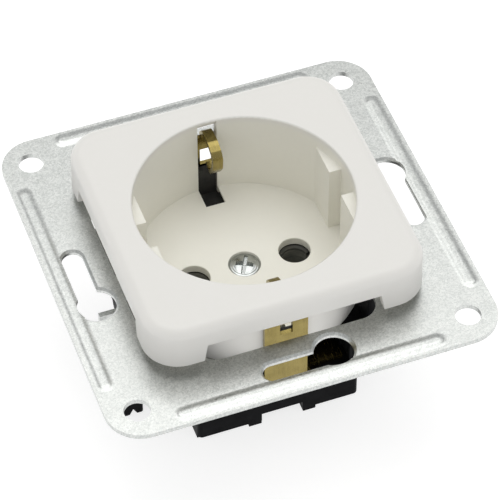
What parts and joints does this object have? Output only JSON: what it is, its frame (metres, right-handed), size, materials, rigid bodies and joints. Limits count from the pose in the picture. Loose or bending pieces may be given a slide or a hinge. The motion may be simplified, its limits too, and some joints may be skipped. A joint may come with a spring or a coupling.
{
  "type": "flush wall socket",
  "caption": "Flush wall socket insert: round plug well with pin holes and side earth contacts in a square cover, on a square sheet-metal carrier plate for a round wall box.",
  "frame": {"origin": "on the well axis in the plane of the carrier plate's rear face, which lies on the wall", "axes": "+X along the line of the two pin holes, +Y up the wall, +Z out of the wall towards the user"},
  "size_m": [0.071, 0.071, 0.0407],
  "materials": {
    "white_moulding": "satin white thermoplastic",
    "galvanised_sheet": "galvanised with fine spangle",
    "black_moulding": "satin black thermoset",
    "grey_insulation": "matt dark insulation",
    "earth_brass": "rolled brass, slightly tarnished",
    "contact_brass": "dull tarnished brass",
    "spring_steel": "oiled spring steel",
    "zinc_steel": "bright zinc plate",
    "clamp_steel": "zinc plated pressed steel"
  },
  "bodies": {
    "root": {"base": "black_moulding", "carrier_plate": "galvanised_sheet", "contact_cover": "grey_insulation", "cover": "white_moulding", "cover_screw": "zinc_steel", "earth_clamp": "clamp_steel", "earth_strip": "earth_brass", "earth_terminal_screw": "zinc_steel", "line_clamp": "clamp_steel", "line_contact": "contact_brass", "line_contact_spring": "spring_steel", "line_terminal_screw": "zinc_steel", "neutral_clamp": "clamp_steel", "neutral_contact": "contact_brass", "neutral_contact_spring": "spring_steel", "neutral_terminal_screw": "zinc_steel"}
  },
  "joints": []
}
